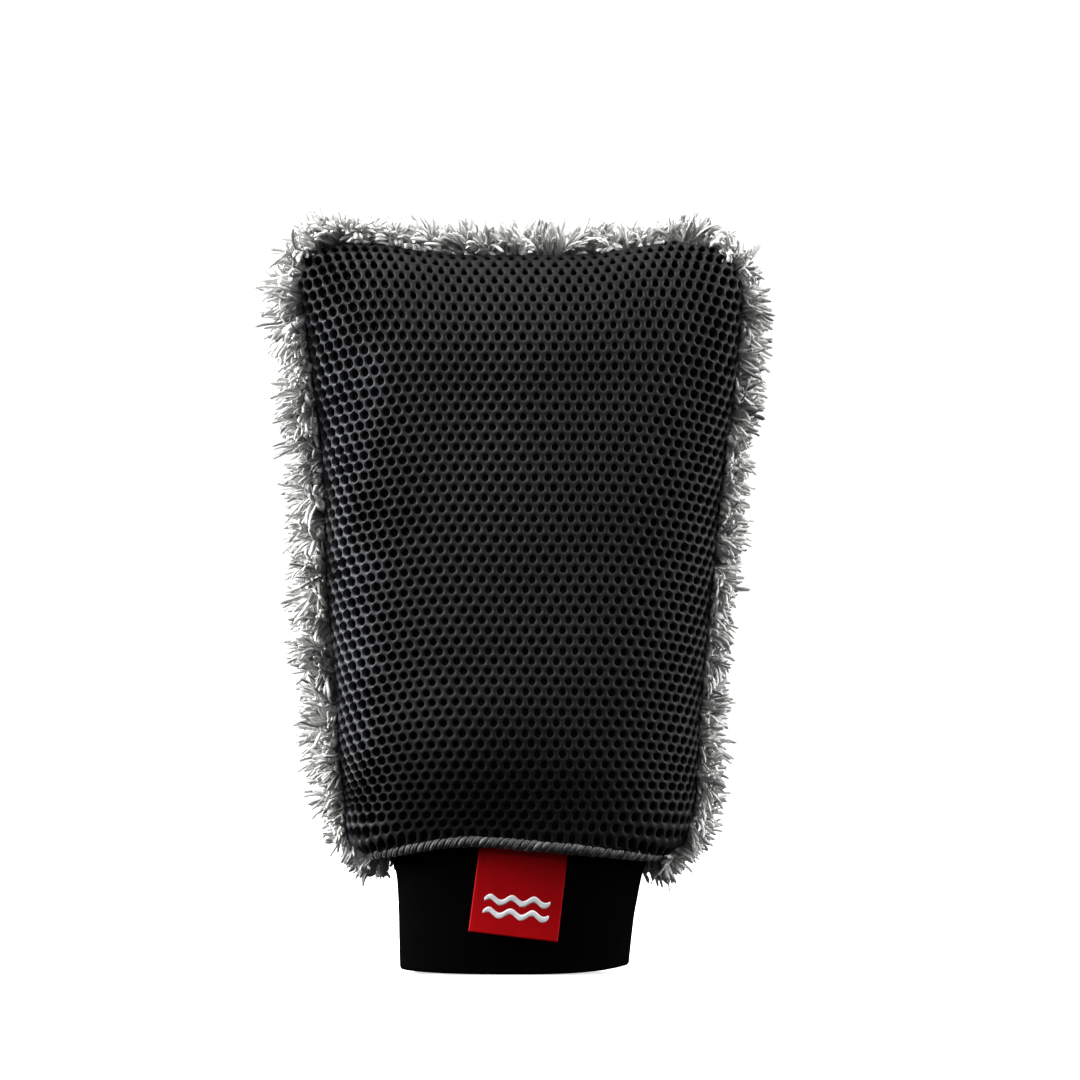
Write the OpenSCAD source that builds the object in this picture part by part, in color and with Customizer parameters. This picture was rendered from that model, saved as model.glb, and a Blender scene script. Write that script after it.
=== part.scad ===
// Wash mitt: perforated back, pile palm, knit wrist sleeve and a woven tab.
// All sizes in millimetres. +Z points at the fingertips, -Y at the perforated back,
// +Y at the pile palm. The origin is the centre of the sleeve's mouth.

/* [Pocket] */
// Half-width of the pocket at the mouth, under the layers
mouth_half_width = 50.5; // [45:0.5:60]
// Half-width just above the bottom corners
low_half_width = 60; // [52:0.5:70]
// Half-width at mid height
mid_half_width = 66; // [55:0.5:75]
// Half-width near the top corners
top_half_width = 78; // [65:0.5:90]
// Half-depth of the pocket on the back side
back_half_depth = 21.5; // [15:0.5:30]
// Half-depth of the pocket on the palm side
palm_half_depth = 22; // [15:0.5:30]
// Height where the pocket starts, the mouth seam
mouth_z = 45.5; // [35:0.5:60]
// Height where the rounded top starts
shoulder_z = 222; // [200:1:240]
// Height of the rounded top
crown = 41; // [25:1:55]
// How far the top corners stand above the middle
ear_rise = 6; // [0:0.5:10]

/* [Layers] */
// Thickness of the perforated face sheet
mesh_thick = 4; // [2:0.1:6]
// Thickness of the knit sheet behind the perforations
underlay_thick = 0.9; // [0.5:0.1:2]
// Thickness of the cloth that carries the pile
backing_thick = 1.2; // [0.6:0.1:2]
// Height of the pile at the sides and top
pile_side = 16.5; // [8:0.5:25]
// Height of the pile over the palm
pile_palm = 17; // [8:0.5:25]
// Gap between layers
layer_gap = 0.2; // [0.1:0.05:0.5]

/* [Seams] */
// Radius of the closing seam's roll
seam_r = 1.7; // [1:0.1:3]
// Radius of the overlocked mouth seam's roll
overlock_r = 1.8; // [1:0.1:3]

/* [Cuff] */
// Half-width of the sleeve at its top
cuff_top_half_width = 48; // [40:0.5:58]
// Half-width of the sleeve at its mouth
cuff_hem_half_width = 42.5; // [35:0.5:55]
// Half-depth of the sleeve at its top
cuff_top_half_depth = 22; // [15:0.5:30]
// Half-depth of the sleeve at its mouth
cuff_hem_half_depth = 21; // [15:0.5:30]
// Height of the bend line between sleeve and pocket
bend_z = 46; // [40:0.5:60]
// Lap of the sleeve into the pocket at the back side
lap_back = 1.5; // [0.5:0.5:4]
// Lap of the sleeve into the pocket at the palm side
lap_palm = 9; // [4:0.5:14]
// Thickness of each of the sleeve's two plies
ply_thick = 1.1; // [0.6:0.1:2]
// Space between the two plies
ply_gap = 0.4; // [0.2:0.1:1]
// How much lower the hem hangs at its middle than at its sides
hem_sag = 3; // [0:0.5:6]

/* [Label] */
// Width of the woven tab
label_width = 33; // [20:1:50]
// Length of the woven tab below its sewn edge
label_length = 32; // [15:1:45]
// Thickness of the woven tab
label_thick = 0.8; // [0.4:0.1:1.5]
// Sideways place of the tab's sewn edge
label_x = 3; // [-20:0.5:20]
// Lean of the tab from upright, in degrees
label_lean = 7.5; // [0:0.5:15]

/* [Hidden] */
roundness = 2.4;
cap_max = 86;
body_part = 0.72;
mesh_lo = underlay_thick + layer_gap;
mesh_hi = mesh_lo + mesh_thick;
pile_lo = backing_thick + layer_gap;
top_z = shoulder_z + crown;
label_z = 44;

// ---- shape functions -------------------------------------------------------
function clamp01(k) = max(0, min(1, k));
function ramp(a, b, x) = let (k = clamp01((x - a) / (b - a))) k * k * (3 - 2 * k);
function unit(v) = v / max(1e-9, norm(v));

// stations of the pocket's half-width, softened so that no edge shows
width_st = [[mouth_z - 6, mouth_half_width - 3], [mouth_z, mouth_half_width],
            [mouth_z + 5, low_half_width - 1.5], [mouth_z + 14, low_half_width],
            [100, low_half_width + 2], [140, mid_half_width], [182, mid_half_width + 4],
            [shoulder_z, top_half_width - 2.5], [shoulder_z + 26, top_half_width],
            [top_z - 7, top_half_width - 2], [top_z, top_half_width - 11],
            [top_z + 8, top_half_width - 26]];
function width_at(z) =
    let (w = 1 + 5 * ramp(55, 90, z) - 3.5 * ramp(235, 255, z))
    (lookup(z - w, width_st) + lookup(z - w / 2, width_st) + lookup(z, width_st)
     + lookup(z + w / 2, width_st) + lookup(z + w, width_st)) / 5;

// the back sinks a little at the wrist and is fullest over the knuckles
depth_st = [[30, 24.2], [mouth_z, 24.2], [60, 22.2], [72, back_half_depth + 1],
            [95, back_half_depth + 4], [120, back_half_depth + 4.5], [150, back_half_depth + 3.5],
            [180, back_half_depth + 2.5], [shoulder_z, back_half_depth],
            [top_z + 20, back_half_depth - 1.5]];
function back_depth(z) =
    let (w = 8 * ramp(mouth_z, 70, z))
    (lookup(z - w, depth_st) + lookup(z - w / 2, depth_st) + lookup(z, depth_st)
     + lookup(z + w / 2, depth_st) + lookup(z + w, depth_st)) / 5;
function palm_depth(z) = 24.8 + (palm_half_depth - 24.8) * ramp(50, 110, z)
    + 1.5 * ramp(120, 190, z);
function ear(x, z) = (ear_rise * ramp(18, 68, abs(x)) - 1.3) * ramp(200, 262, z);

function row_phi(v) = v <= body_part ? 0 : cap_max * (v - body_part) / (1 - body_part);
function row_z(v) = v <= body_part
    ? mouth_z + (shoulder_z - mouth_z) * pow(v / body_part, 1.35)
    : shoulder_z + crown * sin(row_phi(v));
function spow(c) = sign(c) * pow(abs(c), 2 / roundness);

// a point of the hand pocket's surface: t goes round it, v goes up it
function pocket(t, v) =
    let (z = row_z(v), s = spow(sin(t)), x = width_at(z) * spow(cos(t)),
         d = (s < 0 ? back_depth(z) : palm_depth(z)) * cos(row_phi(v)))
    [x, d * s, z + ear(x, z)];
function pocket_out(t, v) =
    let (e = 1.5, f = 0.012, v0 = max(0, v - f), v1 = min(1, v + f))
    unit(cross(pocket(t + e, v) - pocket(t - e, v), pocket(t, v1) - pocket(t, v0)));
function layer(t, v, off) = pocket(t, v) + off * pocket_out(t, v);

function steps(a, b, n) = [for (i = [0:n]) a + (b - a) * i / n];
// spacing that is closer at both ends, for the turned sides of a sheet
function eased(a, b, n) = [for (i = [0:n]) let (k = i / n) a + (b - a) * (k - sin(360 * k) / 9)];

// ---- solids from grids -------------------------------------------------------
function flat_list(g) = [for (r = g) for (p = r) p];

// a sheet between an outer grid and an inner grid of the same size
module sheet_solid(outer, inner) {
    nr = len(outer);
    nc = len(outer[0]);
    m = nr * nc;
    function q(i, j) = i * nc + j;
    pts = concat(flat_list(outer), flat_list(inner));
    skin = [for (i = [0:nr - 2]) for (j = [0:nc - 2])
            each [[q(i, j), q(i + 1, j), q(i + 1, j + 1)], [q(i, j), q(i + 1, j + 1), q(i, j + 1)]]];
    back = [for (f = skin) [f[0] + m, f[2] + m, f[1] + m]];
    low = [for (j = [0:nc - 2])
           each [[q(0, j), q(0, j + 1), q(0, j + 1) + m], [q(0, j), q(0, j + 1) + m, q(0, j) + m]]];
    high = [for (j = [0:nc - 2]) let (i = nr - 1)
            each [[q(i, j), q(i, j + 1) + m, q(i, j + 1)], [q(i, j), q(i, j) + m, q(i, j + 1) + m]]];
    first = [for (i = [0:nr - 2])
             each [[q(i, 0), q(i + 1, 0) + m, q(i + 1, 0)], [q(i, 0), q(i, 0) + m, q(i + 1, 0) + m]]];
    last = [for (i = [0:nr - 2]) let (j = nc - 1)
            each [[q(i, j), q(i + 1, j), q(i + 1, j) + m], [q(i, j), q(i + 1, j) + m, q(i, j) + m]]];
    polyhedron(points = pts, faces = concat(skin, back, low, high, first, last), convexity = 8);
}

// a closed ring swept from rings of points; each ring is a closed section
module ring_solid(rings, closed = true) {
    n = len(rings);
    k = len(rings[0]);
    top = closed ? n - 1 : n - 2;
    side = [for (i = [0:top]) for (j = [0:k - 1])
            let (a = i * k + j, b = i * k + (j + 1) % k,
                 c = ((i + 1) % n) * k + (j + 1) % k, d = ((i + 1) % n) * k + j)
            each [[a, b, c], [a, c, d]]];
    ends = closed ? [] : [[for (j = [k - 1:-1:0]) j], [for (j = [0:k - 1]) (n - 1) * k + j]];
    polyhedron(points = flat_list(rings), faces = concat(side, ends), convexity = 8);
}

function disc(c, a, b, r, k) = [for (j = [0:k - 1]) c + r * (cos(360 * j / k) * a + sin(360 * j / k) * b)];

// ---- pocket ------------------------------------------------------------------
module pocket_sheet(ts, lo, hi, vs) {
    sheet_solid([for (v = vs) [for (t = ts) layer(t, v, hi)]],
                [for (v = vs) [for (t = ts) layer(t, v, lo)]]);
}

function rows(n, m) = concat([for (i = [0:n - 1]) body_part * i / n],
                             [for (i = [0:m]) body_part + (1 - body_part) * i / m]);

// layers that lie on each other share their columns and rows, so that they never cross
back_cols = eased(181.2, 358.8, 32);
palm_mid = eased(3.2, 176.8, 30);
layer_rows = rows(16, 10);

module back_mesh() {
    color([0.09, 0.09, 0.1]) pocket_sheet(back_cols, mesh_lo, mesh_hi, layer_rows);
}

module back_underlay() {
    color([0.16, 0.16, 0.18]) pocket_sheet(back_cols, 0, underlay_thick, layer_rows);
}

module palm_backing() {
    color([0.35, 0.35, 0.37]) 
        pocket_sheet(concat([1.2], palm_mid, [178.8]), 0, backing_thick, layer_rows);
}

// pile height: full over the palm, a little less at the sides, short at the mouth's rear
function pile_h(t, v) = pile_side + (pile_palm - pile_side) * abs(sin(t))
    - 4 * pow(1 - clamp01(v / 0.12), 2) * abs(sin(t));

// the turned-forward lip of the pile runs out towards the top corners
function wrap_t(t, v) = let (k = 1 - 0.85 * ramp(0.84, 0.97, v))
    t < 0 ? t * k : t > 180 ? 180 + (t - 180) * k : t;

module palm_pile() {
    lip = mesh_hi + 0.7;
    tin = concat([-6.5, 1.0], palm_mid, [179.0, 186.5]);
    oin = concat([lip, lip], [for (t = palm_mid) pile_lo], [lip, lip]);
    tout = concat([-6.5, -2], eased(2, 178, 30), [182, 186.5]);
    vs = layer_rows;
    color([0.62, 0.63, 0.66])
        sheet_solid([for (v = vs) [for (t = tout) layer(wrap_t(t, v), v, pile_h(t, v))]],
                    [for (v = vs) [for (i = [0:len(tin) - 1]) layer(wrap_t(tin[i], v), v, oin[i])]]);
}

// ---- seams ---------------------------------------------------------------------
function rim_right(v) = layer(0, v, 2.3);
function top_line(x) = [x, 0, top_z + 1.6 + ear(x, top_z)];
seam_top_x = width_at(row_z(1));
seam_path = concat([for (v = steps(0.01, 0.97, 26)) rim_right(v)],
                   [for (x = steps(seam_top_x * 0.93, -seam_top_x * 0.93, 18)) top_line(x)],
                   [for (v = steps(0.97, 0.01, 26)) let (p = rim_right(v)) [-p[0], p[1], p[2]]]);

function path_dir(p, i) = unit(p[min(len(p) - 1, i + 1)] - p[max(0, i - 1)]);

module perimeter_seam() {
    n = len(seam_path);
    color([0.2, 0.2, 0.21])
        ring_solid([for (i = [0:n - 1]) let (d = path_dir(seam_path, i), b = [0, 1, 0], a = unit(cross(b, d)))
                    disc(seam_path[i], a, b, seam_r, 8)], closed = false);
}

module mouth_overlock() {
    n = 64;
    path = [for (i = [0:n - 1]) layer(360 * i / n, 0.004, 4.5) + [0, 0, 2]];
    color([0.6, 0.6, 0.62])
        ring_solid([for (i = [0:n - 1]) let (d = unit(path[(i + 1) % n] - path[(i + n - 1) % n]),
                        b = [0, 0, 1], a = unit(cross(d, b)))
                    disc(path[i], a, b, overlock_r, 8)]);
}

// ---- cuff ----------------------------------------------------------------------
function cuff_w(z) = cuff_hem_half_width + (cuff_top_half_width - cuff_hem_half_width) * ramp(-2, 42, z)
    + 0.7 * ramp(25, 38, z) * (1 - ramp(40, 47, z));
function cuff_d(z) = cuff_hem_half_depth + (cuff_top_half_depth - cuff_hem_half_depth) * ramp(0, 44, z);

// a point of the sleeve: t round it, f from the hem (0) to the top (1), off inwards
function cuff_point(t, f, off) =
    let (c = spow(cos(t)), s = spow(sin(t)),
         ztop = bend_z + lap_back + (lap_palm - lap_back) * (1 + s) / 2,
         zhem = hem_sag * pow(abs(c), 3),
         z = zhem + f * (ztop - zhem))
    [(cuff_w(z) - off) * c, (cuff_d(z) - off) * s, z];

module cuff() {
    full = 2 * ply_thick + ply_gap;
    prof = concat([for (f = [1, 0.86, 0.7, 0.52, 0.34, 0.16, 0.05]) [0, f]],
                  [[full * 0.22, 0.008], [full * 0.5, 0], [full * 0.78, 0.008]],
                  [for (f = [0.05, 0.16, 0.34, 0.52, 0.7, 0.86, 1]) [full, f]],
                  [for (f = [1, 0.7, 0.34, 0.06]) [full - ply_thick, f]],
                  [for (f = [0.06, 0.34, 0.7, 1]) [ply_thick, f]]);
    n = 60;
    color([0.07, 0.07, 0.075])
        ring_solid([for (i = [0:n - 1]) [for (p = prof) cuff_point(360 * i / n, p[1], p[0])]]);
}

// ---- label ---------------------------------------------------------------------
// the tab follows the sleeve's front, a little off it, and curls out at its free end
function label_point(u, w, off) =
    let (a = label_x + u * label_width / 2 * cos(label_lean) - w * label_length * sin(label_lean),
         z = label_z - w * label_length * cos(label_lean) - u * label_width / 2 * sin(label_lean) * w,
         y0 = cuff_d(z) * pow(1 - pow(abs(a) / cuff_w(z), roundness), 1 / roundness))
    [a, -(y0 + 1.2 + 0.9 * (1 - w) + 1.6 * pow(w, 3)) - off, z];

module label() {
    us = steps(-1, 1, 14);
    ws = steps(1, 0, 12);
    color([0.74, 0.03, 0.05])
        sheet_solid([for (w = ws) [for (u = us) label_point(u, w, label_thick)]],
                    [for (w = ws) [for (u = us) label_point(u, w, 0)]]);
}

back_mesh();
back_underlay();
palm_backing();
palm_pile();
perimeter_seam();
mouth_overlock();
cuff();
label();
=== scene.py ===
"""Wash mitt: the looks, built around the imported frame. Lengths are in millimetres until a mesh is made.

The pocket is one curved surface, pocket(t, v). Its back carries the perforated face sheet over a shiny knit,
and its palm side carries the pile. The doubled sleeve is sewn on along the overlocked mouth, with a label.
"""
import math

import bpy
import numpy as np
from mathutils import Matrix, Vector


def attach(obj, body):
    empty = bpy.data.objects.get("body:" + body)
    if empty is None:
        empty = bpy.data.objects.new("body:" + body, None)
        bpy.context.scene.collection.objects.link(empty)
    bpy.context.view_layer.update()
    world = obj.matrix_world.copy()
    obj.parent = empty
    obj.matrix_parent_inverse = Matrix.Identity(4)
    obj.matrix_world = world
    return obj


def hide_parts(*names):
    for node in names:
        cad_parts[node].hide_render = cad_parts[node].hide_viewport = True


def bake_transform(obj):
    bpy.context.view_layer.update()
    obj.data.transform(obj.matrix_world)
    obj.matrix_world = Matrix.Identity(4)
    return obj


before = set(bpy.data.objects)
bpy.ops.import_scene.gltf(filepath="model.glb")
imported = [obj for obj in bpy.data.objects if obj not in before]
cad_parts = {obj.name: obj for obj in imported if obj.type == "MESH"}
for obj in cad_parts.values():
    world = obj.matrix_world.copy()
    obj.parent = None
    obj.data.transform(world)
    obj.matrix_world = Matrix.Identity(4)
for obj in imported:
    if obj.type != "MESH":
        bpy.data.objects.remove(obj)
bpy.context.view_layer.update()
rng = np.random.default_rng(7)

# ---- camera: straight on, as far off as a long lens stands, in metres --------------------------
VIEW_WIDTH = 0.3996
CAMERA_AWAY = 3.2
VIEW_CENTRE = (0.0087, 0.1598)
SENSOR_MM = 36
camera_data = bpy.data.cameras.new("camera")
camera_data.sensor_width = SENSOR_MM
camera_data.lens = SENSOR_MM * CAMERA_AWAY / VIEW_WIDTH
camera = bpy.data.objects.new("camera", camera_data)
bpy.context.collection.objects.link(camera)
camera.location = (VIEW_CENTRE[0], -CAMERA_AWAY, VIEW_CENTRE[1])
camera.rotation_euler = (math.pi / 2, 0, 0)
bpy.context.scene.camera = camera

# ---- the pocket's surface, the same rules as the solids ---------------------------------------
MOUTH_Z, SHOULDER_Z, CROWN = 45.5, 222.0, 41.0
TOP_Z = SHOULDER_Z + CROWN
# the top is a cap that turns through CAP_DEG; BODY_PART of v is below it; ROUND is the cross-section's power
CAP_DEG, BODY_PART, ROUND = 86.0, 0.72, 2.4
BODY_EASE = 1.35
# (height, half width), (height, depth of the back) and (height, how far the left side stands out)
WIDTH = [(39.5, 47.5), (45.5, 50.5), (50.5, 58.5), (59.5, 60), (100, 62), (140, 66), (182, 70),
         (222, 75.5), (248, 78), (256, 76), (263, 67), (271, 52)]
BACK = [(30, 24.2), (45.5, 24.2), (52, 25.4), (62, 26.4), (78, 26.8), (100, 26.6), (125, 26.2), (150, 25),
        (180, 24), (222, 21.5), (283, 20)]
LEFT_OUT = [(45, 0), (60, 1), (85, 2.5), (120, 2), (150, 1.5), (175, -0.5), (200, -1.8), (235, -1.2),
            (250, 1), (262, 3), (285, 3)]
# the hand's relief under the back: a depth (below 0: a swelling), the middle's x and z, the reach along each
RELIEF = [(1.6, -16, 58, 30, 14), (-1.8, -16, 92, 30, 18), (1.0, 26, 62, 12, 12), (1.2, -22, 205, 16, 42),
          (0.9, 24, 195, 13, 40), (-1.5, 34, 110, 22, 34)]


def ramp(a, b, x):
    """A smooth step from 0 at a to 1 at b."""
    k = np.clip((np.asarray(x, float) - a) / (b - a), 0, 1)
    return k * k * (3 - 2 * k)


def soft(stations, z, w):
    """The stations' line at z, averaged over w to each side."""
    st = np.array(stations, float)
    ks = np.linspace(-1, 1, 17)
    weights = 1 + np.cos(ks * np.pi)
    return sum(wt * np.interp(z + k * w, st[:, 0], st[:, 1]) for k, wt in zip(ks, weights)) / weights.sum()


def half_width(z):
    return soft(WIDTH, z, 1.5 + 7 * ramp(55, 90, z) - 5 * ramp(235, 255, z))


def back_depth(z):
    return soft(BACK, z, 0.5 + 11 * ramp(MOUTH_Z, 70, z))


def palm_depth(z):
    return 24.8 - 2.8 * ramp(50, 110, z) + 1.5 * ramp(120, 190, z)


def ear(x, z):
    """How far the top edge rises towards its two corners."""
    return (6 * ramp(18, 68, np.abs(x)) - 1.3) * ramp(200, 262, z)


def side_shift(z):
    """The pocket hangs a little to one side of the sleeve."""
    return 2.0 * ramp(46, 66, z)


def rounded(c):
    """A cosine or sine turned into the cross-section's rounded rectangle."""
    return np.sign(c) * np.abs(c) ** (2 / ROUND)


def gauss(x, z, cx, cz, rx, rz):
    return np.exp(-((x - cx) / rx) ** 2 - ((z - cz) / rz) ** 2)


def pocket(t, v):
    """A point of the hand pocket: t degrees round it, v from the mouth (0) to the top (1)."""
    t, v = np.broadcast_arrays(np.asarray(t, float), np.asarray(v, float))
    phi = np.radians(np.where(v <= BODY_PART, 0, CAP_DEG * (v - BODY_PART) / (1 - BODY_PART)))
    z = np.where(v <= BODY_PART,
                 MOUTH_Z + (SHOULDER_Z - MOUTH_Z) * (np.minimum(v, BODY_PART) / BODY_PART) ** BODY_EASE,
                 SHOULDER_Z + CROWN * np.sin(phi))
    s = rounded(np.sin(np.radians(t)))
    x = half_width(z) * rounded(np.cos(np.radians(t)))
    front = s < 0
    y = np.where(front, back_depth(z), palm_depth(z)) * np.cos(phi) * s
    dent = sum(deep * gauss(x, z, *place) for deep, *place in RELIEF)
    y = y + np.where(front, dent * np.abs(s) ** 2, 0)
    # the back's lower edge rises to the left of its middle and dips to the right
    low = 1 - ramp(45, 66, z)
    rise = 2.6 * np.exp(-((x + 20) / 26) ** 2) - 1.2 * ramp(10, 50, x)
    z = z + np.where(front, low * np.abs(s) * rise, 0)
    left = ramp(0, 62, -x) * soft(LEFT_OUT, z, 12)
    return np.stack([x + side_shift(z) - left, y, z + ear(x, z)], axis=-1)


PATCH_GRID = (641, 620)
SIDE_TRIM = 0.012


class Surface:
    """A patch of the pocket in millimetres of cloth: s across from its middle, w up from the mouth."""

    def __init__(self, front, corner=0.0):
        self.corner = corner
        nt, nv = PATCH_GRID
        x = np.sin(np.linspace(-1, 1, nt) * (math.pi / 2 - SIDE_TRIM))
        t = np.degrees(np.arccos(np.sign(x) * np.abs(x) ** (ROUND / 2)))
        t = 360 - t if front else t[::-1]
        v = np.linspace(0, 1, nv)
        p = pocket(t[None, :], v[:, None])
        up = np.concatenate([[0], np.cumsum(np.linalg.norm(np.diff(p[:, nt // 2], axis=0), axis=1))])
        self.height = up[-1]
        rows = np.interp(np.linspace(0, up[-1], nv), up, v)
        p = pocket(t[None, :], rows[:, None])
        out = np.empty_like(p)
        self.half = np.empty(nv)
        for i in range(nv):
            a = np.concatenate([[0], np.cumsum(np.linalg.norm(np.diff(p[i], axis=0), axis=1))])
            at = np.linspace(0, a[-1], nt)
            self.half[i] = a[-1] / 2
            for k in range(3):
                out[i, :, k] = np.interp(at, a, p[i, :, k])
        self.p = out
        n = np.cross(np.gradient(out, axis=1), np.gradient(out, axis=0))
        self.n = n / np.linalg.norm(n, axis=-1, keepdims=True)
        self.size = (nv, nt)

    def half_at(self, w):
        return np.interp(w, np.linspace(0, self.height, self.size[0]), self.half)

    def cut_half(self, w):
        """Half the width of the cut cloth: the patch with its top corners rounded off."""
        if self.corner == 0:
            return self.half_at(w)
        q = np.clip((w - self.height + self.corner) / self.corner, 0, 1)
        return self.half_at(w) - self.corner * (1 - np.sqrt(1 - q ** 2))

    def _sample(self, grid, s, w):
        nv, nt = self.size
        i = np.clip(w / self.height, 0, 1) * (nv - 1)
        j = np.clip((s / self.half_at(w) + 1) / 2, 0, 1) * (nt - 1)
        i0, j0 = np.minimum(i.astype(int), nv - 2), np.minimum(j.astype(int), nt - 2)
        fi, fj = (i - i0)[..., None], (j - j0)[..., None]
        return ((grid[i0, j0] * (1 - fj) + grid[i0, j0 + 1] * fj) * (1 - fi)
                + (grid[i0 + 1, j0] * (1 - fj) + grid[i0 + 1, j0 + 1] * fj) * fi)

    def normal(self, s, w):
        n = self._sample(self.n, s, w)
        return n / np.linalg.norm(n, axis=-1, keepdims=True)

    def at(self, s, w, h):
        return self._sample(self.p, s, w) + self.normal(s, w) * np.asarray(h)[..., None]

    def edge(self, s, w):
        """How far a point is from the cut cloth's nearest edge."""
        side, above, r = self.half_at(w) - np.abs(s), self.height - w, self.corner
        straight = np.minimum(np.minimum(side, above), w)
        bend = r - np.hypot(np.maximum(r - side, 0), np.maximum(r - above, 0))
        return straight if r == 0 else np.minimum(straight, bend)


CORNER_ROUND = 14.0
# how far the panel's edge stands out past the pocket's outline, at the sides and at the top
SIDE_PROUD, TOP_PROUD = 3.2, 1.6
BACK_SIDE = Surface(True, CORNER_ROUND)
PALM_SIDE = Surface(False)

# ---- meshes -------------------------------------------------------------------------------------


def make_mesh(name, points, faces, material, uv=None, attributes=None):
    """points in mm; faces is an int array (n, 3 or 4) or a list of them; uv has a pair per face corner."""
    blocks = faces if isinstance(faces, list) else [faces]
    loops = np.concatenate([b.reshape(-1) for b in blocks]).astype(np.int32)
    totals = np.concatenate([np.full(len(b), b.shape[1]) for b in blocks]).astype(np.int32)
    me = bpy.data.meshes.new(name)
    me.vertices.add(len(points))
    me.vertices.foreach_set("co", (np.asarray(points, float) * 0.001).astype(np.float32).ravel())
    me.loops.add(len(loops))
    me.loops.foreach_set("vertex_index", loops)
    me.polygons.add(len(totals))
    me.polygons.foreach_set("loop_start", np.concatenate([[0], np.cumsum(totals)[:-1]]).astype(np.int32))
    me.polygons.foreach_set("loop_total", totals)
    me.polygons.foreach_set("use_smooth", np.full(len(totals), True))
    if uv is not None:
        layer = me.uv_layers.new(name="OFBake")
        layer.data.foreach_set("uv", np.asarray(uv, np.float32).ravel())
    for key, values in (attributes or {}).items():
        me.attributes.new(key, "FLOAT", "POINT").data.foreach_set("value", np.asarray(values, np.float32))
    me.materials.append(material)
    me.update(calc_edges=True)
    me.validate()
    ob = bpy.data.objects.new(name, me)
    bpy.context.collection.objects.link(ob)
    return ob


def grid_faces(rows, columns, wrap_rows=False, wrap_columns=False):
    """The quads of a grid of points; wrapping joins its last row or column to its first."""
    i, j = np.meshgrid(np.arange(rows if wrap_rows else rows - 1),
                       np.arange(columns if wrap_columns else columns - 1), indexing="ij")
    above, beside = (i + 1) % rows, (j + 1) % columns
    quads = [i * columns + j, i * columns + beside, above * columns + beside, above * columns + j]
    return np.stack(quads, -1).reshape(-1, 4)


def grid_corners(rows, columns):
    """The row and the column of each quad's four corners, for a grid of so many quads."""
    i, j = np.meshgrid(np.arange(rows), np.arange(columns), indexing="ij")
    return np.stack([i, i, i + 1, i + 1], -1), np.stack([j, j + 1, j + 1, j], -1)


def slab(name, outer, inner, material):
    """A closed thin sheet between two grids of the same size, with a bake map of its own."""
    nr, nc = outer.shape[:2]
    m = nr * nc
    front = grid_faces(nr, nc)
    back = front[:, ::-1] + m
    rim = np.concatenate([np.arange(nc), np.arange(1, nr) * nc + nc - 1,
                          (nr - 1) * nc + np.arange(nc - 2, -1, -1), np.arange(nr - 2, 0, -1) * nc])
    nxt = np.roll(rim, -1)
    side = np.stack([rim, rim + m, nxt + m, nxt], -1)
    i, j = np.divmod(np.arange(m), nc)
    base = np.stack([j / (nc - 1), i / (nr - 1)], -1)
    uv_front = base[front.ravel()] * [0.48, 0.96] + [0.01, 0.02]
    uv_back = base[(back.ravel() - m)] * [0.46, 0.96] + [0.51, 0.02]
    step = np.arange(len(rim)) / len(rim)
    uv_side = np.stack([np.stack([np.full(len(rim), a), step + b / len(rim)], -1)
                        for a, b in ((0.98, 0), (0.995, 0), (0.995, 1), (0.98, 1))], 1)
    uv = np.concatenate([uv_front, uv_back, uv_side.reshape(-1, 2)])
    pts = np.concatenate([outer.reshape(-1, 3), inner.reshape(-1, 3)])
    return make_mesh(name, pts, [front, back, side], material, uv=uv)


# ---- materials ----------------------------------------------------------------------------------


class Mat:
    """A Principled material and short ways to add nodes to it."""

    def __init__(self, name, color, roughness, **sockets):
        self.m = bpy.data.materials.new(name)
        self.m.use_nodes = True
        self.nt = self.m.node_tree
        self.bsdf = self.nt.nodes["Principled BSDF"]
        self.bsdf.inputs["Base Color"].default_value = (*color, 1)
        self.bsdf.inputs["Roughness"].default_value = roughness
        for key, value in sockets.items():
            self.bsdf.inputs[key.replace("_", " ")].default_value = value
        self.coords = None

    def node(self, kind, inputs=None, **props):
        n = self.nt.nodes.new(kind)
        for key, value in props.items():
            setattr(n, key, value)
        for key, value in (inputs or {}).items():
            if isinstance(value, bpy.types.NodeSocket):
                self.nt.links.new(value, n.inputs[key])
            else:
                n.inputs[key].default_value = value
        return n

    def object_coords(self):
        if self.coords is None:
            self.coords = self.node("ShaderNodeTexCoord").outputs["Object"]
        return self.coords

    def noise(self, scale, detail=3):
        return self.node("ShaderNodeTexNoise", {"Vector": self.object_coords(), "Scale": scale,
                                                "Detail": detail}).outputs["Fac"]

    def turned(self, rotation):
        return self.node("ShaderNodeMapping", {"Vector": self.object_coords(),
                                               "Rotation": rotation}).outputs["Vector"]

    def wave(self, scale, direction="X", distortion=0.0, vector=None):
        inputs = {"Vector": vector or self.object_coords(), "Scale": scale, "Distortion": distortion}
        return self.node("ShaderNodeTexWave", inputs, bands_direction=direction).outputs["Fac"]

    def math(self, op, a, b=0.0):
        return self.node("ShaderNodeMath", {0: a, 1: b}, operation=op).outputs[0]

    def ramp(self, fac, stops):
        n = self.node("ShaderNodeValToRGB", {"Fac": fac})
        ramp_ = n.color_ramp
        while len(ramp_.elements) < len(stops):
            ramp_.elements.new(0.5)
        for e, (pos, col) in zip(ramp_.elements, stops):
            e.position, e.color = pos, (*col, 1)
        return n.outputs["Color"]

    def attribute(self, name):
        return self.node("ShaderNodeAttribute", attribute_name=name).outputs["Fac"]

    def bump(self, height, strength, distance):
        n = self.node("ShaderNodeBump", {"Height": height, "Strength": strength, "Distance": distance})
        self.nt.links.new(n.outputs["Normal"], self.bsdf.inputs["Normal"])

    def color(self, socket):
        self.nt.links.new(socket, self.bsdf.inputs["Base Color"])


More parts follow.
